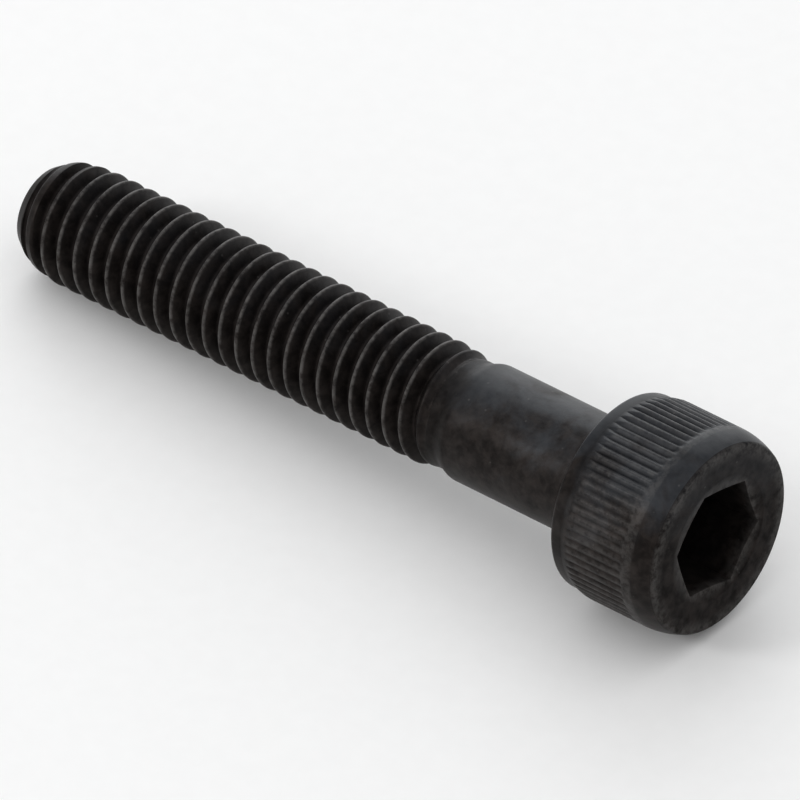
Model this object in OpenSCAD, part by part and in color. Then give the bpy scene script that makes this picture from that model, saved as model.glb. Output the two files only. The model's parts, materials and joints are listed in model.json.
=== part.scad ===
// Hexagon socket head cap screw, partly threaded, in blackened steel.
// One solid: pointed thread, neck, plain shank, knurled head and hexagon socket.
// The screw is drawn upright, point at the bottom, and then laid down as it comes to rest on a
// flat surface: on two knurl teeth of the head and on the first full crest of the thread.
// The origin is on that surface, under the middle of the screw, with the head towards +X.

/* [Thread] */
// Diameter over the thread crests
thread_d = 5.92; // [5.76:0.02:6]
// Distance from one crest to the next
pitch = 1; // [0.75:0.05:1.2]
// Length of full thread, measured from the point
thread_len = 24.6; // [16:0.2:27]
// Length over which the thread fades out towards the neck
runout_len = 1.1; // [0.6:0.1:2]
// Height above the point at which a crest passes the line that the screw lies on
crest_start = 0.58; // [0:0.02:1]

/* [Point] */
// Diameter of the flat end of the point
point_d = 4.2; // [3.4:0.1:4.5]
// Length of the cone behind the flat end
point_len = 2; // [1:0.1:3]

/* [Shank] */
// Length under the head
length = 35; // [33:1:60]
// Diameter of the plain shank
shank_d = 5.86; // [5.7:0.02:6]
// Diameter of the neck between the thread and the shank
neck_d = 5.38; // [5.2:0.02:5.5]
// Length of the neck
neck_len = 0.35; // [0.2:0.05:1]
// Length of the shoulder that rises from the neck to the shank
shoulder_len = 0.9; // [0.5:0.1:1.5]
// Radius of the fillet under the head
fillet_r = 0.3; // [0.2:0.05:0.4]

/* [Head] */
// Diameter over the knurl
head_d = 10.06; // [9.8:0.02:10.3]
// Height of the head
head_h = 6; // [5.6:0.1:7]
// Diameter of the plain band next to the bearing face
band_d = 9.74; // [9.3:0.02:9.76]
// Height of the plain band above the bearing face
band_h = 0.65; // [0.4:0.05:1]
// Radius of the rounded edge of the bearing face
edge_r = 0.22; // [0.1:0.02:0.3]
// Length of the slope from the plain band up to the knurl
ramp_h = 0.65; // [0.3:0.05:1]
// Length of the rounding at the front of the head
dome_h = 1.7; // [1:0.1:2.2]
// Diameter of the flat front face
face_d = 9.3; // [8.2:0.1:9.4]

/* [Knurl] */
// Number of teeth round the head
knurl_teeth = 72; // [60:2:80]
// Depth of the grooves
knurl_depth = 0.14; // [0.08:0.01:0.14]
// Width of the land on top of a tooth
knurl_land = 0.09; // [0.05:0.01:0.14]

/* [Socket] */
// Width of the hexagon across its flats
socket_af = 5.06; // [4.8:0.02:5.2]
// Depth of the hexagon's walls below the front face
socket_depth = 3.2; // [2.8:0.1:3.5]
// Diameter of the hollow cone at the bottom of the socket
cone_d = 4.6; // [3.6:0.1:4.7]
// Depth of that cone
cone_depth = 0.5; // [0.2:0.1:0.8]
// Diameter of the flat at the end of that cone
cone_flat_d = 1; // [0.4:0.1:2]
// Diameter of the countersunk mouth
mouth_d = 5.96; // [5.6:0.02:6.2]
// Turn of the hexagon about the axis of the screw, in degrees
socket_turn = 15; // [0:1:59]

/* [Hidden] */
$fn = 96;

// Sides of the thread's turns
thread_sides = 32;
// Extra size of a cutter or an overlap, so that no two faces lie in one plane
over = 0.5;
// Points along the curve of the shoulder
shoulder_steps = 8;

// ISO thread form: height of the sharp triangle, root radius and the two flats
sharp_h = pitch * sqrt(3) / 2;
root_r = sharp_h / 6;
crest_flat = pitch / 8;
root_flat = pitch / 4;
flank_h = (pitch - crest_flat - root_flat) / 2 * sqrt(3);
root_drop = root_r * (1 - sin(30));
crest_rad = thread_d / 2;
// One pitch of the section, as [height, radius] of its five corners
thread_form = [
    [-root_flat / 2, crest_rad - flank_h],
    [0, crest_rad - flank_h - root_drop],
    [root_flat / 2, crest_rad - flank_h],
    [(pitch - crest_flat) / 2, crest_rad],
    [(pitch + crest_flat) / 2, crest_rad]
];
corners = len(thread_form);

// The thread fades into a tail thinner than the neck, which swallows it at a small chamfer
runout_end = thread_len + runout_len;
tail_gap = 0.06;
tail_rad = neck_d / 2 - tail_gap;
neck_chamfer = 2 * tail_gap;
// The rod starts two pitches below the point and ends inside the neck
rod_start = crest_start - 3.5 * pitch;
rod_turns = ceil((runout_end + over - rod_start) / pitch);
sections = thread_sides * rod_turns;

neck_top = runout_end + neck_len;
shoulder_top = neck_top + shoulder_len;
total_len = length + head_h;
head_rad = head_d / 2;
// Radius of the arc that leads from the side of the head to the front face
dome_drop = (head_d - face_d) / 2;
dome_r = (dome_h * dome_h + dome_drop * dome_drop) / (2 * dome_drop);
knurl_start = length + band_h + ramp_h;
knurl_step = 360 / knurl_teeth;

// Virtual sharp tip of a tooth, which the turned side of the head cuts down to its land
land_angle = knurl_land / head_rad * 180 / PI;
groove_rad = head_rad - knurl_depth;
sharp_rad = groove_rad + knurl_depth * knurl_step / (knurl_step - land_angle);

// Rest: the line under the two lowest teeth and the lowest side of the first full crest
tooth_reach = head_rad * cos((knurl_step - land_angle) / 2);
crest_reach = crest_rad * cos(180 / thread_sides);
first_crest = crest_start - crest_flat / 2
    + pitch * ceil((point_len - crest_start + crest_flat / 2) / pitch);
rest_tilt = atan((tooth_reach - crest_reach) / (knurl_start - first_crest));
rest_lift = tooth_reach * cos(rest_tilt) - knurl_start * sin(rest_tilt);
middle_x = (total_len * cos(rest_tilt) + (face_d - point_d) / 2 * sin(rest_tilt)) / 2;

// Share of the full thread form that is left at a height
function thread_share(z) = min(1, max(0, (runout_end - z) / runout_len));
// Radius at a height, for a corner that has radius r on the full thread
function faded(z, r) = tail_rad + (r - tail_rad) * thread_share(z);
// Corner c of section s, on a right-hand helix. The half puts the middle of a side at the bottom.
function thread_point(s, c) =
    let (turn = (s + 0.5) / thread_sides,
         z = rod_start + turn * pitch + thread_form[c][0],
         r = faded(z, thread_form[c][1]))
    [r * cos(360 * turn), r * sin(360 * turn), z];
// Index of a corner, where the corner after the last is the first one a turn further up
function corner_id(s, c) = c < corners ? s * corners + c : (s + thread_sides) * corners;

// Solid threaded rod with a fading end, wound from one strip of facets and closed by two fans
module thread_rod() {
    last = sections - 1;
    points = [for (s = [0:last]) for (c = [0:corners - 1]) thread_point(s, c)];
    wall = [
        for (s = [0:last - 1]) for (c = [0:corners - 1])
            if (c < corners - 1 || s + 1 + thread_sides <= last)
                let (a = corner_id(s, c), b = corner_id(s, c + 1),
                     d = corner_id(s + 1, c), e = corner_id(s + 1, c + 1))
                each [[a, b, e], [a, e, d]]
    ];
    start_rim = concat(
        [for (c = [0:corners]) corner_id(0, c)],
        [for (s = [thread_sides - 1:-1:1]) corner_id(s, 0)]);
    end_rim = concat(
        [for (c = [corners - 1:-1:0]) corner_id(last, c)],
        [for (s = [last - thread_sides:last - 1]) corner_id(s, corners - 1)]);
    start_id = len(points);
    end_id = start_id + 1;
    centres = [[0, 0, rod_start - pitch], [0, 0, rod_start + (rod_turns + 1) * pitch]];
    fans = concat(
        [for (i = [0:len(start_rim) - 1])
            [start_rim[(i + 1) % len(start_rim)], start_rim[i], start_id]],
        [for (i = [0:len(end_rim) - 1])
            [end_rim[(i + 1) % len(end_rim)], end_rim[i], end_id]]);
    polyhedron(points = concat(points, centres), faces = concat(wall, fans), convexity = 10);
}

// Turned envelope of the threaded end, which gives the rod its flat end and cone
module pointed_envelope() {
    cone_rise = (crest_rad - point_d / 2) / point_len;
    clear_rad = crest_rad + over / 4;
    clear_z = (clear_rad - point_d / 2) / cone_rise;
    rotate_extrude()
        polygon([
            [0, 0], [point_d / 2, 0], [clear_rad, clear_z],
            [clear_rad, runout_end + over], [0, runout_end + over]
        ]);
}

module threaded_end() {
    intersection() {
        thread_rod();
        pointed_envelope();
    }
}

// Neck, shoulder and shank in one turned profile that ends inside the head
module plain_shank() {
    neck_rad = neck_d / 2;
    shank_rad = shank_d / 2;
    shoulder = [
        for (i = [0:shoulder_steps])
            let (share = i / shoulder_steps)
            [neck_rad + (shank_rad - neck_rad) * (1 - cos(180 * share)) / 2,
             neck_top + shoulder_len * share]
    ];
    rotate_extrude()
        polygon(concat([[0, runout_end - neck_chamfer], [neck_rad - neck_chamfer, runout_end - neck_chamfer],
                        [neck_rad, runout_end]],
                       shoulder, [[shank_rad, length + over], [0, length + over]]));
}

// Hollow fillet between the shank and the bearing face
module fillet() {
    inner = shank_d / 2 - over;
    rotate_extrude()
        difference() {
            translate([inner, length - fillet_r])
                square([over + fillet_r, fillet_r + over]);
            translate([shank_d / 2 + fillet_r, length - fillet_r])
                circle(r = fillet_r);
        }
}

// Turned outline of the head: rounded edge, plain band, slope, side and domed front
module head_outline() {
    band_rad = band_d / 2;
    dome_start = total_len - dome_h;
    rotate_extrude() {
        translate([band_rad - edge_r, length + edge_r])
            intersection() {
                circle(r = edge_r);
                translate([0, -edge_r]) square(edge_r);
            }
        polygon([
            [0, length], [band_rad - edge_r, length], [band_rad - edge_r, length + edge_r],
            [band_rad, length + edge_r], [band_rad, length + band_h],
            [head_rad, knurl_start], [head_rad, dome_start], [0, dome_start]
        ]);
        intersection() {
            translate([head_rad - dome_r, dome_start]) circle(r = dome_r, $fn = 360);
            translate([0, dome_start]) square([head_d, dome_h]);
        }
    }
}

// Toothed bar: the head keeps its teeth wherever the outline is wider than the grooves
module knurl_bar() {
    teeth = [
        for (i = [0:2 * knurl_teeth - 1])
            let (rad = i % 2 == 0 ? groove_rad : sharp_rad, turn = i * knurl_step / 2)
            [rad * cos(turn), rad * sin(turn)]
    ];
    translate([0, 0, length - over]) linear_extrude(head_h + 2 * over) polygon(teeth);
}

// Hexagon socket with a countersunk mouth and a shallow cone at the bottom
module socket() {
    hex_rad = socket_af / 2 / cos(30);
    bottom = total_len - socket_depth;
    // Deep enough for the 45 degree cone to leave the hexagon's flats
    mouth_depth = (mouth_d - socket_af) / 2 + over;
    rotate([0, 0, socket_turn]) {
        translate([0, 0, bottom]) cylinder(h = socket_depth + over, r = hex_rad, $fn = 6);
    }
    translate([0, 0, bottom - cone_depth])
        cylinder(h = cone_depth, d1 = cone_flat_d, d2 = cone_d);
    translate([0, 0, total_len - mouth_depth])
        cylinder(h = mouth_depth + over, r1 = mouth_d / 2 - mouth_depth, r2 = mouth_d / 2 + over);
}

module head() {
    difference() {
        intersection() {
            head_outline();
            knurl_bar();
        }
        socket();
    }
}

module cap_screw() {
    color([0.13, 0.12, 0.115])
        translate([-middle_x, 0, rest_lift])
            rotate([0, 90 - rest_tilt, 0]) {
                threaded_end();
                plain_shank();
                fillet();
                head();
            }
}

cap_screw();
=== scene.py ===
"""Hexagon socket cap screw of blackened steel, lying on a pale floor as it comes to rest.

The screw is shaped upright in millimetres, with the point at the origin and the head up, and is
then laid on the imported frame's own axis in metres. It is one closed skin: rolled thread, turned
point, neck, plain shank, knurled head and broached socket, each shaped by a class of its own.
"""

from __future__ import annotations

import json
import logging
import math
from dataclasses import dataclass, field
from enum import Enum
from typing import Callable

import bmesh
import bpy
from mathutils import Euler, Matrix, Vector, noise


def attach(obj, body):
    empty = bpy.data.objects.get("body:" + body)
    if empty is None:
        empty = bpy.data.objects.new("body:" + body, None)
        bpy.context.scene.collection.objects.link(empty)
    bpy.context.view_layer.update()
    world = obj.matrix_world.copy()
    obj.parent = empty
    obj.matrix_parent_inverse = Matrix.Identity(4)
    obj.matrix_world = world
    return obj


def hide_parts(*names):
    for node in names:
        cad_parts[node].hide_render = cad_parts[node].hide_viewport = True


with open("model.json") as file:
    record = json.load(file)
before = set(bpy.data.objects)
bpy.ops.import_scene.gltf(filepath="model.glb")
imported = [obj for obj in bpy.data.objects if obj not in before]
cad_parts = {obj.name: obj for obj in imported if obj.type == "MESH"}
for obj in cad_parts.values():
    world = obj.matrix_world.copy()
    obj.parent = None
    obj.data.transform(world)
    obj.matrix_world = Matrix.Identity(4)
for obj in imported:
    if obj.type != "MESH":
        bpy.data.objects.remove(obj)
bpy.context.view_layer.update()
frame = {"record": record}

LOG = logging.getLogger("cap_screw")
MM = 0.001
FULL_TURN = 2.0 * math.pi
Outline = list[tuple[float, float]]


class Region(Enum):
    """Surfaces of the screw that are made in different ways, with their material index."""

    THREAD = 0
    SHANK = 1
    HEAD_SIDE = 2
    FACE = 3
    SOCKET = 4


class Lay(Enum):
    """Direction in which the tool or die left its fine marks."""

    NONE = "none"
    ALONG = "along the axis"
    AROUND = "around the axis"
    RINGS = "rings on a face"


def soft_min(a: float, b: float, width: float) -> float:
    """Smaller of two values, with a rounded change-over.

    Args:
        a: First value.
        b: Second value.
        width: Distance between the two over which the change-over is rounded.

    Returns:
        The smaller value, lowered a little where both are alike.
    """
    share = max(0.0, 1.0 - abs(a - b) / width) if width > 0.0 else 0.0
    return min(a, b) - width * share * share / 4.0


def smooth_step(low: float, high: float, value: float) -> float:
    """Share of the way from low to high, eased at both ends.

    Args:
        low: Value that gives nought.
        high: Value that gives one.
        value: Value to place between them.

    Returns:
        A share from nought to one.
    """
    share = min(1.0, max(0.0, (value - low) / (high - low)))
    return share * share * (3.0 - 2.0 * share)


def rounded_corner(
    before: tuple[float, float],
    corner: tuple[float, float],
    after: tuple[float, float],
    radius: float,
    segments: int,
) -> Outline:
    """Arc that replaces a corner of a turned outline.

    Args:
        before: Point of the outline before the corner.
        corner: The sharp corner.
        after: Point of the outline after the corner.
        radius: Radius of the arc.
        segments: Number of straight pieces in the arc.

    Returns:
        Points of the arc, from its first tangent point to its last.
    """
    here = Vector(corner)
    towards = (Vector(before) - here).normalized()
    onwards = (Vector(after) - here).normalized()
    half = towards.angle(onwards) / 2.0
    centre = here + (towards + onwards).normalized() * (radius / math.sin(half))
    first = here + towards * (radius / math.tan(half)) - centre
    last = here + onwards * (radius / math.tan(half)) - centre
    sweep = first.angle_signed(last)
    points = []
    for i in range(segments + 1):
        turned = first.copy()
        turned.rotate(Matrix.Rotation(-sweep * i / segments, 2))
        points.append(tuple(centre + turned))
    return points


def turn_outline(bm: bmesh.types.BMesh, outline: Outline, steps: int) -> None:
    """Turns an outline about the axis of the screw, as on a lathe.

    Args:
        bm: Mesh that receives the surface.
        outline: Points as (radius, height).
        steps: Number of sides of the full turn.
    """
    verts = [bm.verts.new((radius, 0.0, height)) for radius, height in outline]
    edges = [bm.edges.new(pair) for pair in zip(verts, verts[1:])]
    bmesh.ops.spin(
        bm, geom=verts + edges, cent=(0, 0, 0), axis=(0, 0, 1), dvec=(0, 0, 0),
        angle=FULL_TURN, steps=steps, use_merge=True, use_duplicate=False,
    )


def take_in(bm: bmesh.types.BMesh, shaped: bmesh.types.BMesh) -> None:
    """Adds a separately shaped surface to the skin, and frees it.

    Args:
        bm: The skin.
        shaped: The surface to take in.
    """
    carrier = bpy.data.meshes.new("carrier")
    shaped.to_mesh(carrier)
    shaped.free()
    bm.from_mesh(carrier)
    bpy.data.meshes.remove(carrier)


def open_rim(bm: bmesh.types.BMesh, radius: float, height: float) -> list[bmesh.types.BMEdge]:
    """Finds an open circular edge of the skin.

    Args:
        bm: Mesh to look in.
        radius: Radius of the rim.
        height: Height of the rim.

    Returns:
        The boundary edges of that rim.
    """
    def on_rim(vert: bmesh.types.BMVert) -> bool:
        """Whether a vertex lies on the rim."""
        return abs(vert.co.z - height) < 0.004 and abs(vert.co.xy.length - radius) < 0.02

    return [e for e in bm.edges if e.is_boundary and all(on_rim(v) for v in e.verts)]


def join_rims(
    bm: bmesh.types.BMesh, first: tuple[float, float], second: tuple[float, float]
) -> None:
    """Bridges two open circular edges of the skin.

    Args:
        bm: Mesh to close.
        first: Radius and height of one rim.
        second: Radius and height of the other.
    """
    bmesh.ops.bridge_loops(bm, edges=open_rim(bm, *first) + open_rim(bm, *second))


@dataclass(frozen=True)
class Placing:
    """Where the upright screw goes: the centre of its head's face and its axis, as packed."""

    face_centre: Vector
    axis: Vector
    length: float

    @classmethod
    def from_record(cls, record: dict, length: float) -> "Placing":
        """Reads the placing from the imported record's socket mount.

        Args:
            record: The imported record.
            length: Overall length of the screw in millimetres.

        Returns:
            The placing.
        """
        mount = next(m for m in record["mounts"] if m["name"] == "hex_socket")
        return cls(Vector(mount["pos_m"]), Vector(mount["axis"]).normalized(), length)

    def turn(self) -> Matrix:
        """Rotation from the upright screw to the lying one."""
        return Matrix(
            (Vector((self.axis.z, 0.0, -self.axis.x)), Vector((0.0, 1.0, 0.0)), self.axis)
        ).transposed()

    def point_centre(self) -> Vector:
        """Centre of the flat end of the point, in metres."""
        return self.face_centre - self.axis * (self.length * MM)

    def matrix(self) -> Matrix:
        """Matrix from upright millimetres to lying metres."""
        return (
            Matrix.Translation(self.point_centre()) @ self.turn().to_4x4() @ Matrix.Scale(MM, 4)
        )


@dataclass
class RolledThread:
    """Right-hand rolled thread with a turned point and a run-out into the neck."""

    crest_dia: float = 5.92
    pitch: float = 1.0
    thread_len: float = 24.6
    runout_len: float = 1.1
    crest_start: float = 0.58
    neck_dia: float = 5.38
    point_dia: float = 4.2
    point_len: float = 0.95
    lead_dia: float = 5.44
    lead_len: float = 1.45
    point_edge: float = 0.16
    crest_round: float = 0.06
    steps: int = 96
    cut_height: float = 0.3
    cone_blend: float = 0.03

    @property
    def runout_end(self) -> float:
        """Height at which the thread has faded out."""
        return self.thread_len + self.runout_len

    def cone_radius(self, height: float) -> float:
        """Radius of the turned point at a height: a cone, and behind it a slower lead taper."""
        cone_rise = (self.lead_dia - self.point_dia) / 2.0 / self.point_len
        lead_rise = (self.crest_dia - self.lead_dia) / 2.0 / self.lead_len
        cone = self.point_dia / 2.0 + cone_rise * height
        return soft_min(cone, self.lead_dia / 2.0 + lead_rise * (height - self.point_len), 0.12)

    def half_section(self) -> Outline:
        """Half a pitch of the thread form, as (radius, distance from the crest's middle).

        Returns:
            Points from the middle of the crest to the middle of the root.
        """
        crest = self.crest_dia / 2.0
        flat = self.pitch / 16.0
        flank_end = self.pitch * 3.0 / 8.0
        slope = math.sqrt(3.0)
        flank_rad = crest - (flank_end - flat) * slope
        root_round = self.pitch * math.sqrt(3.0) / 12.0
        root_centre = flank_rad + root_round / 2.0
        corner = rounded_corner(
            (crest, 0.0), (crest, flat), (flank_rad, flank_end), self.crest_round, 2
        )
        supports = [(crest - (d - flat) * slope, d) for d in (0.115, 0.345)]
        root = [
            (
                root_centre - root_round * math.cos(math.radians(a)),
                self.pitch / 2.0 - root_round * math.sin(math.radians(a)),
            )
            for a in (60.0, 30.0, 0.0)
        ]
        return [(crest, 0.0)] + corner + supports + root

    def section(self) -> Outline:
        """One pitch of the thread form from root to root, as (radius, height)."""
        half = self.half_section()
        below = [(radius, -dist) for radius, dist in reversed(half[1:])]
        return below + half

    def wind(self, bm: bmesh.types.BMesh) -> None:
        """Winds the section into as many turns as the thread needs.

        Args:
            bm: Mesh that receives the turns.
        """
        start = self.crest_start - self.pitch
        verts = [bm.verts.new((radius, 0.0, start + height)) for radius, height in self.section()]
        edges = [bm.edges.new(pair) for pair in zip(verts, verts[1:])]
        bmesh.ops.spin(
            bm, geom=verts + edges, cent=(0, 0, 0), axis=(0, 0, 1),
            dvec=(0, 0, self.pitch / self.steps), angle=FULL_TURN, steps=self.steps,
            use_merge=False, use_duplicate=False,
        )
        one_turn = bm.verts[:] + bm.edges[:] + bm.faces[:]
        turns = math.ceil((self.runout_end - start) / self.pitch + 0.6)
        for turn in range(1, turns):
            copied = bmesh.ops.duplicate(bm, geom=one_turn)["geom"]
            bmesh.ops.translate(
                bm, vec=(0, 0, turn * self.pitch),
                verts=[v for v in copied if isinstance(v, bmesh.types.BMVert)],
            )
        bmesh.ops.remove_doubles(bm, verts=bm.verts[:], dist=0.002)

    def refine_start(self, bm: bmesh.types.BMesh) -> None:
        """Cuts the long flank edges near the point, where the cone crosses them.

        Args:
            bm: Mesh that holds the turns.
        """
        limit = self.point_len + self.lead_len + 0.4 * self.pitch
        long_edges = [
            e for e in bm.edges
            if 0.16 < abs(e.verts[0].co.z - e.verts[1].co.z)
            and max(v.co.z for v in e.verts) < limit
        ]
        bmesh.ops.subdivide_edges(bm, edges=long_edges, cuts=3, use_grid_fill=True)

    def fade(self, bm: bmesh.types.BMesh) -> None:
        """Lets the thread run out at the neck and follow the cone at the point.

        Args:
            bm: Mesh that holds the turns.
        """
        neck = self.neck_dia / 2.0
        for vert in bm.verts:
            radius = vert.co.xy.length
            height = vert.co.z
            share = min(1.0, max(0.0, (self.runout_end - height) / self.runout_len))
            wanted = neck + (radius - neck) * share
            wanted = soft_min(wanted, self.cone_radius(height), self.cone_blend)
            vert.co.xy *= wanted / radius

    def trim(self, bm: bmesh.types.BMesh) -> None:
        """Cuts the turns off square at both ends.

        Args:
            bm: Mesh that holds the turns.
        """
        for height, side in ((self.cut_height, "clear_inner"), (self.runout_end, "clear_outer")):
            bmesh.ops.bisect_plane(
                bm, geom=bm.verts[:] + bm.edges[:] + bm.faces[:], dist=0.0005,
                plane_co=(0, 0, height), plane_no=(0, 0, 1), **{side: True},
            )
        bmesh.ops.remove_doubles(bm, verts=bm.verts[:], dist=0.002)

    def shape(self) -> bmesh.types.BMesh:
        """Shapes the thread, and the end of the point below it.

        Returns:
            The threaded end, open at the neck.
        """
        bm = bmesh.new()
        self.wind(bm)
        self.refine_start(bm)
        self.fade(bm)
        self.trim(bm)
        edge = rounded_corner(
            (self.cone_radius(self.cut_height), self.cut_height), (self.point_dia / 2.0, 0.0),
            (0.0, 0.0), self.point_edge, 5,
        )
        outline = [(self.cone_radius(0.26), 0.26)] + edge
        outline += [(1.6, 0.004), (1.1, 0.02), (0.5, 0.035), (0.0, 0.04)]
        turn_outline(bm, outline, self.steps)
        join_rims(
            bm, (self.cone_radius(self.cut_height), self.cut_height), (self.cone_radius(0.26), 0.26)
        )
        return bm


@dataclass
class PlainShank:
    """Neck, rising shoulder, plain shank, and the fillet under the head."""

    neck_dia: float = 5.38
    neck_start: float = 25.7
    neck_len: float = 0.35
    shoulder_len: float = 0.9
    shank_dia: float = 5.86
    length: float = 35.0
    fillet: float = 0.3
    steps: int = 96

    def outline(self) -> Outline:
        """Turned outline from the neck to the bearing face."""
        neck, shank = self.neck_dia / 2.0, self.shank_dia / 2.0
        top = self.neck_start + self.neck_len
        points = [(neck, self.neck_start + 0.04), (neck, self.neck_start + self.neck_len * 0.6)]
        for i in range(13):
            share = i / 12.0
            rise = (1.0 - math.cos(math.pi * share)) / 2.0
            points.append((neck + (shank - neck) * rise, top + self.shoulder_len * share))
        free = self.length - self.fillet - points[-1][1]
        points += [(shank, points[-1][1] + free * k / 10.0) for k in range(1, 11)]
        for i in range(1, 7):
            a = math.pi / 2.0 * i / 6.0
            points.append(
                (
                    shank + self.fillet * (1.0 - math.cos(a)),
                    self.length - self.fillet + self.fillet * math.sin(a),
                )
            )
        return points + [(shank + self.fillet + 0.1, self.length)]

    def shape(self) -> bmesh.types.BMesh:
        """Turns the shank, open at both ends."""
        bm = bmesh.new()
        turn_outline(bm, self.outline(), self.steps)
        return bm


@dataclass
class KnurledHead:
    """Cylindrical head with a straight knurl that runs out on the rounded front."""

    length: float = 35.0
    head_dia: float = 10.06
    head_height: float = 6.0
    band_dia: float = 9.74
    band_height: float = 0.65
    edge_round: float = 0.22
    ramp_height: float = 0.65
    dome_height: float = 1.5
    face_dia: float = 9.4
    face_edge: float = 0.14
    plain_front: float = 1.4
    knurl_fade: float = 0.35
    teeth: int = 72
    tooth_turn: float = 2.5
    groove_depth: float = 0.14
    land_width: float = 0.09
    groove_blend: float = 0.02
    steps_per_tooth: int = 8
    rubbed_turn: float = -88.0
    rubbed_share: float = 0.5
    bearing_rim: float = 4.2
    face_rim: float = 3.95
    seed: float = 4.7

    @property
    def top(self) -> float:
        """Height of the front face."""
        return self.length + self.head_height

    @property
    def groove_turn(self) -> float:
        """Angle in radians of the first groove about the axis."""
        return math.pi / self.teeth - math.radians(self.tooth_turn)

    def dome(self) -> Outline:
        """Arc from the side of the head to the edge of the front face."""
        drop = (self.head_dia - self.face_dia) / 2.0
        radius = (self.dome_height**2 + drop**2) / (2.0 * drop)
        last = math.asin(self.dome_height / radius)
        centre = self.head_dia / 2.0 - radius
        start = self.top - self.dome_height
        return [
            (centre + radius * math.cos(last * i / 20), start + radius * math.sin(last * i / 20))
            for i in range(21)
        ]

    def outline(self) -> Outline:
        """Turned outline from the bearing face to the front face."""
        band, side = self.band_dia / 2.0, self.head_dia / 2.0
        ramp_start = self.length + self.band_height
        knurl_start = ramp_start + self.ramp_height
        points = [(self.bearing_rim, self.length), (band - self.edge_round - 0.08, self.length)]
        points += rounded_corner(
            points[-1], (band, self.length), (band, ramp_start), self.edge_round, 5
        )
        for i in range(9):
            share = i / 8.0
            rise = share + 0.35 * share * (1.0 - share)
            points.append((band + (side - band) * rise, ramp_start + self.ramp_height * share))
        dome = self.dome()
        fade_start = self.top - self.plain_front - self.knurl_fade
        plain = fade_start - knurl_start
        points += [(side, knurl_start + plain * share) for share in (0.08, 0.3, 0.55, 0.8, 0.95)]
        fade = dome[0][1] - fade_start
        points += [(side, fade_start + fade * share) for share in (0.1, 0.35, 0.65)]
        points += dome[:-1]
        points += rounded_corner(
            dome[-2], dome[-1], (self.face_rim, self.top), self.face_edge, 5
        )
        return points + [(self.face_rim, self.top)]

    def tooth_radius(self, angle: float, height: float) -> float:
        """Radius of the toothed form before the outline cuts it down.

        Args:
            angle: Angle about the axis in radians.
            height: Height on the upright screw.

        Returns:
            The radius of a groove's flank or bottom, which rises where the knurl runs out.
        """
        side = self.head_dia / 2.0
        place = ((angle - self.groove_turn) / FULL_TURN * self.teeth) % self.teeth
        groove = round(place) % self.teeth
        away = abs(place - round(place))
        vary = noise.noise(Vector((groove * 1.37, self.seed, 0.3)))
        rubbed = smooth_step(0.30, 0.95, math.cos(angle - math.radians(self.rubbed_turn)))
        depth = self.groove_depth * (0.93 + 0.22 * vary) * (1.0 - self.rubbed_share * rubbed)
        land = self.land_width * self.teeth / (math.pi * self.head_dia)
        uneven = noise.noise(Vector((groove * 2.1, 0.7, self.seed)))
        end = self.top - self.plain_front + 0.1 * uneven
        lift = self.groove_depth * (1.0 + (height - end) / self.knurl_fade)
        return side - depth + max(depth * away / (0.5 - land / 2.0), lift)

    def cut_knurl(self, verts: list[bmesh.types.BMVert]) -> None:
        """Gathers the vertices at each groove's bottom and lands, and sinks the grooves.

        Args:
            verts: Vertices of the turned head.
        """
        places = (0.0, 0.07, 0.35, 0.43, 0.5)
        per = self.steps_per_tooth
        for vert in verts:
            radius = vert.co.xy.length
            angle = math.atan2(vert.co.y, vert.co.x) % FULL_TURN
            step = round(angle / FULL_TURN * self.teeth * per)
            tooth, part = divmod(step, per)
            share = places[part] if part <= per // 2 else 1.0 - places[per - part]
            angle = (tooth + share) * FULL_TURN / self.teeth + self.groove_turn
            if self.length + self.edge_round < vert.co.z < self.top - self.face_edge:
                tooth = self.tooth_radius(angle, vert.co.z)
                radius = soft_min(radius, tooth, self.groove_blend)
            vert.co.x, vert.co.y = radius * math.cos(angle), radius * math.sin(angle)

    def shape(self) -> bmesh.types.BMesh:
        """Turns and knurls the head, open at the bearing face and at the front face."""
        bm = bmesh.new()
        turn_outline(bm, self.outline(), self.teeth * self.steps_per_tooth)
        self.cut_knurl(bm.verts[:])
        return bm


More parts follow.
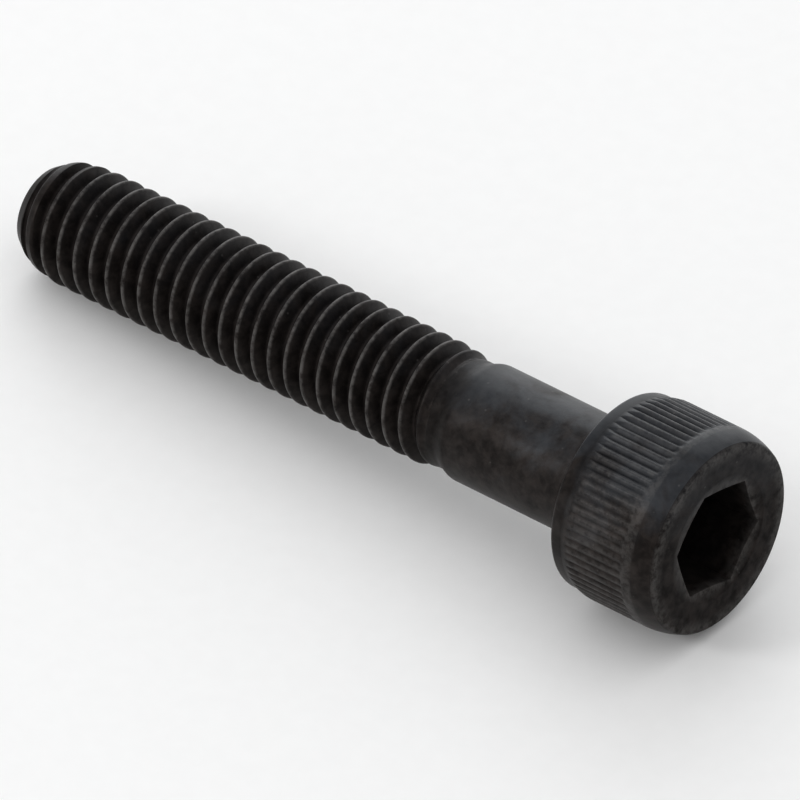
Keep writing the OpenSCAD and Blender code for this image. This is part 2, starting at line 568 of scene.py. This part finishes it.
@dataclass
class BroachedSocket:
    """Hexagon socket with a countersunk mouth and a hollow cone at the bottom."""

    across_flats: float = 5.06
    depth: float = 3.2
    cone_dia: float = 4.6
    cone_depth: float = 0.5
    cone_flat: float = 1.0
    mouth_dia: float = 6.4
    mouth_slope: float = 12.0
    mouth_round: float = 0.5
    turned: float = 15.0
    top: float = 41.0
    rim: float = 3.5
    steps: int = 96
    crease: float = 0.03

    def hex_radius(self, angle: float) -> float:
        """Distance from the axis to the hexagon's wall at an angle in radians."""
        sixth = FULL_TURN / 6.0
        off = (angle - math.radians(self.turned)) % sixth - sixth / 2.0
        return self.across_flats / 2.0 / math.cos(off)

    def rings(self) -> list[Callable[[float], tuple[float, float]]]:
        """Rings down the socket, each a function from the wall's radius to radius and height."""
        mouth, top, crease = self.mouth_dia / 2.0, self.top, self.crease
        bottom = top - self.depth
        slope = math.tan(math.radians(self.mouth_slope))

        def cone_foot(wall: float) -> float:
            """Height at which the mouth's cone meets the wall."""
            return top - (mouth - wall) * slope

        return [
            lambda wall: (wall + crease, cone_foot(wall + crease)),
            lambda wall: (wall + crease * 0.3, cone_foot(wall) - crease * 0.2),
            lambda wall: (wall, cone_foot(wall) - crease),
            lambda wall: (wall, top - 0.75),
            lambda wall: (wall, top - 1.6),
            lambda wall: (wall, top - 2.4),
            lambda wall: (wall, bottom),
            lambda wall: (self.cone_dia / 2.0, bottom),
            lambda wall: (self.cone_flat / 2.0, bottom - self.cone_depth),
            lambda wall: (0.0, bottom - self.cone_depth),
        ]

    def shape(self) -> bmesh.types.BMesh:
        """Sinks the socket into a ring of the front face, which stays open on its outside."""
        bm = bmesh.new()
        mouth = self.mouth_dia / 2.0
        down = self.top - math.tan(math.radians(self.mouth_slope))
        lip = rounded_corner(
            (self.rim, self.top), (mouth, self.top), (mouth - 1.0, down), self.mouth_round, 3
        )
        turn_outline(bm, [(self.rim, self.top), (mouth + 0.12, self.top)] + lip, self.steps)
        edges = open_rim(bm, *lip[-1])
        for ring in self.rings():
            grown = bmesh.ops.extrude_edge_only(bm, edges=edges)["geom"]
            edges = [g for g in grown if isinstance(g, bmesh.types.BMEdge)]
            for vert in [g for g in grown if isinstance(g, bmesh.types.BMVert)]:
                angle = math.atan2(vert.co.y, vert.co.x) if vert.co.xy.length > 0.01 else 0.0
                radius, height = ring(self.hex_radius(angle))
                vert.co = Vector((radius * math.cos(angle), radius * math.sin(angle), height))
        bmesh.ops.remove_doubles(bm, verts=bm.verts[:], dist=0.0005)
        return bm


class NodeBench:
    """Small helper that adds nodes to a material and links them."""

    def __init__(self, material: bpy.types.Material) -> None:
        """Takes over an empty node tree of the material."""
        material.use_nodes = True
        self.tree = material.node_tree
        self.tree.nodes.clear()

    def add(self, kind: str, **values: object) -> bpy.types.Node:
        """Adds a node.

        Args:
            kind: Node type without the ShaderNode prefix.
            **values: Node properties by name.

        Returns:
            The new node.
        """
        node = self.tree.nodes.new("ShaderNode" + kind)
        for name, value in values.items():
            setattr(node, name, value)
        return node

    def link(self, source: bpy.types.NodeSocket, target: bpy.types.NodeSocket) -> None:
        """Links two sockets."""
        self.tree.links.new(source, target)

    def fill(self, socket: bpy.types.NodeSocket, value: object) -> None:
        """Links a socket to another one, or sets it to a plain value."""
        if isinstance(value, bpy.types.NodeSocket):
            self.link(value, socket)
        else:
            socket.default_value = value

    def math(self, operation: str, *inputs: object, clamp: bool = False) -> bpy.types.NodeSocket:
        """Adds a maths node.

        Args:
            operation: Blender's name of the operation.
            *inputs: Sockets or numbers.
            clamp: Whether the result is kept between nought and one.

        Returns:
            The result socket.
        """
        node = self.add("Math", operation=operation, use_clamp=clamp)
        for socket, value in zip(node.inputs, inputs):
            self.fill(socket, value)
        return node.outputs[0]

    def noise(
        self, vector: bpy.types.NodeSocket, scale: float, detail: float, rough: float = 0.55,
        distortion: float = 0.0,
    ) -> bpy.types.NodeSocket:
        """Adds a noise texture.

        Args:
            vector: Coordinates in millimetres.
            scale: Features per millimetre.
            detail: Number of octaves.
            rough: Strength of the finer octaves.
            distortion: How far the pattern is bent.

        Returns:
            The noise value.
        """
        node = self.add("TexNoise")
        self.link(vector, node.inputs["Vector"])
        node.inputs["Scale"].default_value = scale
        node.inputs["Detail"].default_value = detail
        node.inputs["Roughness"].default_value = rough
        node.inputs["Distortion"].default_value = distortion
        return node.outputs["Fac"]

    def ramp(self, value: bpy.types.NodeSocket, low: float, high: float) -> bpy.types.NodeSocket:
        """Stretches a value so that low gives nought and high gives one.

        Args:
            value: Value to stretch.
            low: Lower end.
            high: Upper end.

        Returns:
            The stretched and clamped value.
        """
        node = self.add("MapRange", interpolation_type="SMOOTHSTEP")
        self.link(value, node.inputs["Value"])
        node.inputs["From Min"].default_value = low
        node.inputs["From Max"].default_value = high
        return node.outputs["Result"]

    def mix(self, share: object, first: object, second: object) -> bpy.types.NodeSocket:
        """Mixes two colours.

        Args:
            share: Share of the second colour.
            first: First colour or its socket.
            second: Second colour or its socket.

        Returns:
            The mixed colour.
        """
        node = self.add("Mix", data_type="RGBA")
        self.fill(node.inputs["Factor"], share)
        self.fill(node.inputs["A"], first)
        self.fill(node.inputs["B"], second)
        return node.outputs["Result"]


Colour = tuple[float, float, float, float]


@dataclass(frozen=True)
class BlackOxide:
    """Blackened steel: a thin dark magnetite skin over forged, rolled or broached metal."""

    name: str
    region: Region
    lay: Lay
    dark: Colour = (0.0052, 0.0044, 0.0042, 1.0)
    light: Colour = (0.0150, 0.0122, 0.0112, 1.0)
    cool: Colour = (0.0170, 0.0190, 0.0230, 1.0)
    # Tone of rubbed metal, also used for painted highlights.
    worn_and_highlight: Colour = (0.0950, 0.0910, 0.0880, 1.0)
    warm_sheen: Colour = (1.0, 0.86, 0.80, 1.0)
    cool_sheen: Colour = (0.86, 0.93, 1.0, 1.0)
    cool_share: float = 0.8
    # Side towards which the bluish colour leans: a painted cool reflection on the upper side.
    cool_reflection_side: tuple[float, float, float] = (-0.95, 0.30, 0.0)
    sheen_low: float = 0.17
    sheen_high: float = 0.41
    # Share by which the painted shade in the recesses dulls the sheen.
    shade_dulls: float = 0.75
    # Sheen gain with the bluish colour: a painted sheen, stronger on the upper side.
    lit_side_sheen: float = 0.5
    base_sheen: float = 0.58
    # Strength of the worn tone, which also carries painted highlights on crests and edges.
    wear_and_highlight: float = 0.5
    roughness: float = 0.40
    roughness_spread: float = 0.16
    lay_depth: float = 0.35
    grain_depth: float = 0.5
    ior: float = 1.42

    def lay_vector(
        self, bench: NodeBench, coords: bpy.types.NodeSocket
    ) -> bpy.types.NodeSocket:
        """Stretches the coordinates along the marks that the tool left.

        Args:
            bench: The material's nodes.
            coords: Upright coordinates in millimetres.

        Returns:
            Coordinates for a streaky noise.
        """
        split = bench.add("SeparateXYZ")
        bench.link(coords, split.inputs[0])
        across = bench.math(
            "SQRT",
            bench.math(
                "ADD",
                bench.math("MULTIPLY", split.outputs["X"], split.outputs["X"]),
                bench.math("MULTIPLY", split.outputs["Y"], split.outputs["Y"]),
            ),
        )
        joined = bench.add("CombineXYZ")
        if self.lay is Lay.ALONG:
            bench.link(bench.math("MULTIPLY", split.outputs["X"], 9.0), joined.inputs["X"])
            bench.link(bench.math("MULTIPLY", split.outputs["Y"], 9.0), joined.inputs["Y"])
            bench.link(bench.math("MULTIPLY", split.outputs["Z"], 0.5), joined.inputs["Z"])
        elif self.lay is Lay.AROUND:
            bench.link(bench.math("MULTIPLY", split.outputs["X"], 0.35), joined.inputs["X"])
            bench.link(bench.math("MULTIPLY", split.outputs["Y"], 0.35), joined.inputs["Y"])
            bench.link(bench.math("MULTIPLY", split.outputs["Z"], 11.0), joined.inputs["Z"])
        else:
            bench.link(bench.math("MULTIPLY", across, 10.0), joined.inputs["X"])
            bench.link(bench.math("MULTIPLY", split.outputs["Z"], 4.0), joined.inputs["Y"])
        return joined.outputs[0]

    def cool_patches_and_reflection(
        self, bench: NodeBench, coords: bpy.types.NodeSocket, clouds: bpy.types.NodeSocket
    ) -> bpy.types.NodeSocket:
        """Share of the bluish film in patches, leaning to the upper side as a painted cool
        reflection.

        Args:
            bench: The material's nodes.
            coords: Upright coordinates in millimetres.
            clouds: Broad noise that breaks the film up.

        Returns:
            The share of the film.
        """
        side = bench.add("VectorMath", operation="DOT_PRODUCT")
        bench.link(coords, side.inputs[0])
        side.inputs[1].default_value = self.cool_reflection_side
        leaning = bench.math("MULTIPLY", side.outputs["Value"], 0.11)
        return bench.ramp(bench.math("ADD", clouds, leaning), 0.52, 0.92)

    def sheen_level(
        self,
        bench: NodeBench,
        patches: bpy.types.NodeSocket,
        cool: bpy.types.NodeSocket,
        unshaded: bpy.types.NodeSocket,
    ) -> bpy.types.NodeSocket:
        """Sheen strength: uneven, painted shade in recesses, painted sheen on the upper side.

        Args:
            bench: The material's nodes.
            patches: Noise that makes the sheen uneven.
            cool: Share of the bluish film and its painted cool reflection on the upper side.
            unshaded: One on open metal, less where shade is painted into the recesses.

        Returns:
            The level for the shader.
        """
        sheen = bench.add("MapRange")
        bench.link(patches, sheen.inputs["Value"])
        sheen.inputs["From Min"].default_value = 0.36
        sheen.inputs["From Max"].default_value = 0.64
        sheen.inputs["To Min"].default_value = self.sheen_low
        sheen.inputs["To Max"].default_value = self.sheen_high
        # Painted shade: the sheen is dulled in the recesses.
        dulled = bench.math("MULTIPLY_ADD", unshaded, self.shade_dulls, 1.0 - self.shade_dulls)
        # Painted sheen: stronger where the bluish colour leans to the upper side.
        lit_side_gain = bench.math("MULTIPLY_ADD", cool, self.lit_side_sheen, self.base_sheen)
        level = bench.math("MULTIPLY", sheen.outputs["Result"], dulled)
        return bench.math("MULTIPLY", level, lit_side_gain)

    def material(self, placing: Placing) -> bpy.types.Material:
        """Builds the finish.

        Args:
            placing: Where the screw lies, so that the pattern follows its axis.

        Returns:
            The material.
        """
        made = bpy.data.materials.new(self.name)
        bench = NodeBench(made)
        mapping = bench.add("Mapping", vector_type="TEXTURE")
        bench.link(bench.add("TexCoord").outputs["Object"], mapping.inputs["Vector"])
        mapping.inputs["Location"].default_value = placing.point_centre()
        mapping.inputs["Rotation"].default_value = placing.turn().to_euler()
        mapping.inputs["Scale"].default_value = (MM, MM, MM)
        coords = mapping.outputs["Vector"]

        clouds = bench.noise(coords, 0.42, 5.0, 0.62, 0.6)
        blotches = bench.noise(coords, 1.7, 4.0, 0.6, 0.3)
        grain = bench.noise(coords, 14.0, 3.0, 0.65)
        lay = bench.noise(self.lay_vector(bench, coords), 1.0, 3.0, 0.6)
        # Wear with painted highlights: crests, knurl lands, face edge, socket rim and the highlight
        # spot.
        wear_and_highlight_attribute = bench.add("Attribute", attribute_name="wear_and_highlight")
        specks = bench.add("TexVoronoi", feature="F1")
        bench.link(coords, specks.inputs["Vector"])
        specks.inputs["Scale"].default_value = 1.15
        speck = bench.ramp(specks.outputs["Distance"], 0.085, 0.03)

        # Painted shade: thread roots, neck, shank under the head and knurl grooves are darkened and
        # their sheen dulled.
        recess_shade = bench.add("Attribute", attribute_name="recess_shade").outputs["Fac"]
        unshaded = bench.math("SUBTRACT", 1.0, recess_shade, clamp=True)

        tone = bench.mix(bench.ramp(blotches, 0.34, 0.70), self.dark, self.light)
        # Bluish patches, partly the film's tone, partly a painted cool reflection on the upper
        # side.
        cool = bench.math("MULTIPLY", self.cool_patches_and_reflection(bench, coords, clouds), self.cool_share)
        tone = bench.mix(cool, tone, self.cool)
        tone = bench.mix(bench.math("MULTIPLY", recess_shade, 0.7), tone, self.dark)
        # The worn tone: partly real rubbing, partly painted highlights.
        rubbed = bench.math(
            "MULTIPLY",
            bench.math("MULTIPLY", wear_and_highlight_attribute.outputs["Fac"], self.wear_and_highlight),
            bench.ramp(bench.noise(coords, 2.6, 4.0, 0.7), 0.30, 0.66),
        )
        rubbed = bench.math("ADD", rubbed, bench.math("MULTIPLY", speck, 0.28), clamp=True)
        tone = bench.mix(rubbed, tone, self.worn_and_highlight)

        shader = bench.add("BsdfPrincipled")
        bench.link(tone, shader.inputs["Base Color"])
        # Painted reflection tint: cool on the upper side, warm elsewhere.
        bench.link(
            bench.mix(cool, self.warm_sheen, self.cool_sheen), shader.inputs["Specular Tint"]
        )
        patches = bench.math("MULTIPLY", bench.math("ADD", clouds, blotches), 0.5)
        bench.link(
            self.sheen_level(bench, patches, cool, unshaded), shader.inputs["Specular IOR Level"]
        )
        shader.inputs["IOR"].default_value = self.ior
        spread = bench.math(
            "MULTIPLY", bench.math("SUBTRACT", blotches, 0.5), self.roughness_spread * 2.0
        )
        rough = bench.math("ADD", spread, self.roughness)
        rough = bench.math("SUBTRACT", rough, bench.math("MULTIPLY", rubbed, 0.08), clamp=True)
        bench.link(rough, shader.inputs["Roughness"])

        height = bench.math(
            "ADD",
            bench.math("MULTIPLY", grain, self.grain_depth),
            bench.math("MULTIPLY", lay, self.lay_depth),
        )
        bump = bench.add("Bump")
        bump.inputs["Strength"].default_value = 0.6
        bump.inputs["Distance"].default_value = 0.012 * MM
        bench.link(height, bump.inputs["Height"])
        bench.link(bump.outputs["Normal"], shader.inputs["Normal"])
        output = bench.add("OutputMaterial")
        bench.link(shader.outputs["BSDF"], output.inputs["Surface"])
        return made


@dataclass
class CapScrew:
    """The whole screw, joined from its sub-assemblies into one closed skin."""

    thread: RolledThread = field(default_factory=RolledThread)
    shank: PlainShank = field(default_factory=PlainShank)
    head: KnurledHead = field(default_factory=KnurledHead)
    socket: BroachedSocket = field(default_factory=BroachedSocket)
    # Where a painted highlight spot sits on the head's front edge.
    highlight_turn: float = -132.7
    highlight_below_top: float = 1.65
    finishes: tuple[BlackOxide, ...] = (
        BlackOxide("thread_oxide", Region.THREAD, Lay.AROUND, wear_and_highlight=0.75, cool_share=0.3),
        BlackOxide("shank_oxide", Region.SHANK, Lay.AROUND),
        BlackOxide("knurl_oxide", Region.HEAD_SIDE, Lay.ALONG, wear_and_highlight=0.45),
        # Painted shade: the face's finish is a copy with a lower sheen, so that the face reads
        # darker.
        BlackOxide(
            "face_oxide", Region.FACE, Lay.RINGS, wear_and_highlight=0.5, cool_share=0.3,
            sheen_low=0.04, sheen_high=0.15,
        ),
        # Painted shade: the socket's finish is a copy with a lower sheen, so that the inside reads
        # darker.
        BlackOxide(
            "socket_oxide", Region.SOCKET, Lay.ALONG, wear_and_highlight=0.3, cool_share=0.1,
            sheen_low=0.1, sheen_high=0.25,
        ),
    )

    @property
    def overall(self) -> float:
        """Overall length in millimetres."""
        return self.head.top

    def region_of(self, face: bmesh.types.BMFace) -> Region:
        """Tells which surface of the screw a face belongs to."""
        centre = face.calc_center_median()
        radius, height = centre.xy.length, centre.z
        if height < self.thread.runout_end:
            return Region.THREAD
        if height < self.head.length + 0.001 and radius < self.head.band_dia / 2.0:
            return Region.SHANK
        if radius < self.socket.hex_radius(math.atan2(centre.y, centre.x)) + 0.005:
            return Region.SOCKET
        if height > self.head.top - 0.12:
            return Region.FACE
        return Region.HEAD_SIDE

    def wear_and_highlight_of(self, place: Vector) -> float:
        """Share of rubbing at a spot, with painted highlights on crests, edges and one spot of the
        head.

        Args:
            place: The spot in upright millimetres.

        Returns:
            Nought on sheltered metal, one on the most exposed edge.
        """
        radius, height = place.xy.length, place.z
        if height < self.thread.runout_end:
            # Thread crests: partly worn, partly a painted highlight.
            crest = self.thread.crest_dia / 2.0
            return smooth_step(crest - 0.07, crest - 0.01, radius)
        if height < self.head.length:
            return 0.12
        side = self.head.head_dia / 2.0
        top = self.head.top
        # Painted highlight: a bright spot on the head's edge.
        highlighted = 1.0 - smooth_step(0.10, 0.55, (place - self.highlight_spot).length)
        if height < top - self.head.dome_height + 0.4:
            return max(0.8 * smooth_step(side - 0.05, side - 0.005, radius), highlighted)
        # Painted highlight arc along the face's edge.
        edge = self.head.face_dia / 2.0
        near_edge = 1.0 - smooth_step(0.05, 0.22, math.hypot(radius - edge + 0.05, height - top))
        # Painted glints along the socket's rim.
        wall = self.socket.hex_radius(math.atan2(place.y, place.x))
        foot = top - (self.socket.mouth_dia / 2.0 - wall) * math.tan(math.radians(12.0))
        near_mouth = 1.0 - smooth_step(0.02, 0.09, math.hypot(radius - wall, height - foot))
        return max(near_edge, near_mouth, highlighted)

    @property
    def highlight_spot(self) -> Vector:
        """Middle of the painted highlight spot on the head's edge, in upright millimetres."""
        turn, side = math.radians(self.highlight_turn), self.head.head_dia / 2.0
        height = self.head.top - self.highlight_below_top
        return Vector((side * math.cos(turn), side * math.sin(turn), height))

    def recess_shade_of(self, place: Vector) -> float:
        """Share of painted shade at a spot of the screw, where shade falls in its recesses.

        Args:
            place: The spot in upright millimetres.

        Returns:
            One in the recesses, nought on open metal.
        """
        radius, height = place.xy.length, place.z
        if height < self.thread.runout_end:
            crest = self.thread.crest_dia / 2.0
            return 0.55 * (1.0 - smooth_step(crest - 0.5, crest - 0.12, radius))
        if height < self.head.length:
            uneven = 0.35 * noise.noise(place * 0.8)
            at_neck = 1.0 - smooth_step(0.4, 2.1, height - self.shank.neck_start + uneven)
            at_head = 1.0 - smooth_step(0.1, 1.2, self.head.length - height + uneven)
            return 0.75 * max(at_neck, at_head)
        groove = self.head.head_dia / 2.0 - self.head.groove_depth
        on_knurl = self.head.length + 0.5 < height < self.head.top - self.head.plain_front
        return 0.6 * (1.0 - smooth_step(groove, groove + 0.08, radius)) if on_knurl else 0.0

    def skin(self) -> bmesh.types.BMesh:
        """Shapes and joins the sub-assemblies.

        Returns:
            The closed skin, upright and in millimetres.
        """
        bm = bmesh.new()
        for part in (self.thread, self.shank, self.head, self.socket):
            shaped = part.shape()
            take_in(bm, shaped)
        neck, start = self.shank.neck_dia / 2.0, self.shank.neck_start
        length, top = self.head.length, self.head.top
        join_rims(bm, (neck, start), (neck, start + 0.04))
        join_rims(bm, (self.shank.outline()[-1][0], length), (self.head.bearing_rim, length))
        join_rims(bm, (self.head.face_rim, top), (self.socket.rim, top))
        poles = [v for v in bm.verts if v.co.xy.length < 0.001]
        bmesh.ops.remove_doubles(bm, verts=poles, dist=0.001)
        bmesh.ops.recalc_face_normals(bm, faces=bm.faces[:])
        return bm

    def dress(self, piece: bpy.types.Object, placing: Placing) -> None:
        """Gives the piece its finishes.

        Args:
            piece: The screw's object.
            placing: Where the screw lies.
        """
        for finish in sorted(self.finishes, key=lambda f: f.region.value):
            piece.data.materials.append(finish.material(placing))

    def build(self, placing: Placing) -> bpy.types.Object:
        """Builds the screw and puts it on the frame.

        Args:
            placing: Where the screw lies.

        Returns:
            The finished piece.
        """
        bm = self.skin()
        open_edges = sum(1 for e in bm.edges if not e.is_manifold)
        LOG.info("skin: %d faces, %d open edges", len(bm.faces), open_edges)
        # Wear with painted highlights, stored per vertex.
        wear_and_highlight = bm.verts.layers.float.new("wear_and_highlight")
        # Painted shade in the recesses, stored per vertex.
        recess_shade = bm.verts.layers.float.new("recess_shade")
        for vert in bm.verts:
            vert[wear_and_highlight] = self.wear_and_highlight_of(vert.co)
            vert[recess_shade] = self.recess_shade_of(vert.co)
        for face in bm.faces:
            face.smooth = True
            face.material_index = self.region_of(face).value
        bmesh.ops.transform(bm, matrix=placing.matrix(), verts=bm.verts[:])
        mesh = bpy.data.meshes.new("cap_screw_body")
        bm.to_mesh(mesh)
        bm.free()
        mesh.set_sharp_from_angle(angle=math.radians(40.0))
        piece = bpy.data.objects.new("cap_screw_body", mesh)
        bpy.context.scene.collection.objects.link(piece)
        self.dress(piece, placing)
        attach(piece, "root")
        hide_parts("cap_screw")
        return piece


@dataclass(frozen=True)
class Viewpoint:
    """Camera far from the small screw, as through a long lens."""

    azimuth: float = 40.62
    elevation: float = 40.35
    distance: float = 0.8
    focal_pixels: float = 17318.9
    frame_pixels: float = 800.0
    sensor: float = 36.0
    aim: tuple[float, float, float] = (-0.000579, 0.0, 0.004021)
    aim_right: float = 0.001398
    aim_up: float = -0.001502

    def build(self) -> bpy.types.Object:
        """Builds the camera and makes it the scene's.

        Returns:
            The camera's object.
        """
        a, e = math.radians(self.azimuth), math.radians(self.elevation)
        right = Vector((math.cos(a), math.sin(a), 0.0))
        ahead = Vector(
            (-math.sin(a) * math.cos(e), math.cos(a) * math.cos(e), -math.sin(e))
        )
        up = right.cross(ahead)
        place = Vector(self.aim) + right * self.aim_right + up * self.aim_up - ahead * self.distance
        data = bpy.data.cameras.new("camera")
        data.sensor_width = self.sensor
        data.lens = self.focal_pixels / self.frame_pixels * self.sensor
        data.clip_start, data.clip_end = 0.01, 20.0
        camera = bpy.data.objects.new("camera", data)
        camera.matrix_world = Matrix.Translation(place) @ Matrix(
            (right, up, -ahead)
        ).transposed().to_4x4()
        bpy.context.scene.collection.objects.link(camera)
        bpy.context.scene.camera = camera
        return camera


@dataclass(frozen=True)
class Softbox:
    """A studio lamp with a square soft face, aimed at the screw."""

    name: str
    towards: tuple[float, float, float]
    distance: float
    size: float
    watts: float
    tint: tuple[float, float, float] = (1.0, 1.0, 1.0)

    def build(self) -> bpy.types.Object:
        """Builds the lamp.

        Returns:
            The lamp's object.
        """
        data = bpy.data.lights.new(self.name, "AREA")
        data.shape = "SQUARE"
        data.size = self.size
        data.energy = self.watts
        data.color = self.tint
        lamp = bpy.data.objects.new(self.name, data)
        place = Vector(self.towards).normalized() * self.distance
        facing = place.to_track_quat("Z", "Y").to_matrix().to_4x4()
        lamp.matrix_world = Matrix.Translation(place) @ facing
        bpy.context.scene.collection.objects.link(lamp)
        return lamp


@dataclass(frozen=True)
class Studio:
    """Pale floor, dim even surroundings and the lamps."""

    floor_size: float = 3.0
    floor_colour: Colour = (0.93, 0.93, 0.93, 1.0)
    surroundings: float = 0.565
    lamps: tuple[Softbox, ...] = (
        Softbox("overhead_softbox", (0.0, 0.0, 1.0), 0.9, 1.5, 3.3),
        Softbox("rim_softbox", (-0.55, 0.72, 0.43), 0.7, 0.60, 1.95, (0.97, 0.99, 1.0)),
        Softbox("side_lamp", (-0.41, -0.72, 0.55), 0.5, 0.11, 0.52),
    )

    def floor(self) -> bpy.types.Object:
        """Builds the floor.

        Returns:
            The floor's object.
        """
        made = bpy.data.materials.new("pale_floor")
        bench = NodeBench(made)
        coords = bench.add("TexCoord").outputs["Object"]
        share = bench.ramp(bench.noise(coords, 900.0, 2.0), 0.2, 0.8)
        darker = tuple(c * 0.985 for c in self.floor_colour[:3]) + (1.0,)
        shader = bench.add("BsdfPrincipled")
        bench.link(bench.mix(share, darker, self.floor_colour), shader.inputs["Base Color"])
        shader.inputs["Roughness"].default_value = 0.9
        shader.inputs["Specular IOR Level"].default_value = 0.1
        output = bench.add("OutputMaterial")
        bench.link(shader.outputs["BSDF"], output.inputs["Surface"])
        bm = bmesh.new()
        bmesh.ops.create_grid(bm, x_segments=1, y_segments=1, size=self.floor_size / 2.0)
        mesh = bpy.data.meshes.new("floor")
        bm.to_mesh(mesh)
        bm.free()
        mesh.materials.append(made)
        floor = bpy.data.objects.new("floor", mesh)
        bpy.context.scene.collection.objects.link(floor)
        return floor

    def surround(self) -> None:
        """Lights the world evenly and dimly."""
        world = bpy.data.worlds.new("studio_world")
        world.use_nodes = True
        background = world.node_tree.nodes["Background"]
        background.inputs["Color"].default_value = (1.0, 1.0, 1.0, 1.0)
        background.inputs["Strength"].default_value = self.surroundings
        bpy.context.scene.world = world

    def build(self) -> None:
        """Builds the floor, the surroundings and the lamps."""
        self.floor()
        self.surround()
        for lamp in self.lamps:
            lamp.build()


def main() -> None:
    """Builds the camera, the screw and the studio, in that order."""
    logging.basicConfig(level=logging.INFO, format="%(name)s: %(message)s")
    bpy.context.scene.view_settings.view_transform = "Standard"
    Viewpoint().build()
    LOG.info("camera placed")
    screw = CapScrew()
    placing = Placing.from_record(frame["record"], screw.overall)
    piece = screw.build(placing)
    LOG.info("%s: %d faces", piece.name, len(piece.data.polygons))
    Studio().build()
    LOG.info("studio built")


if __name__ == "__main__":
    main()
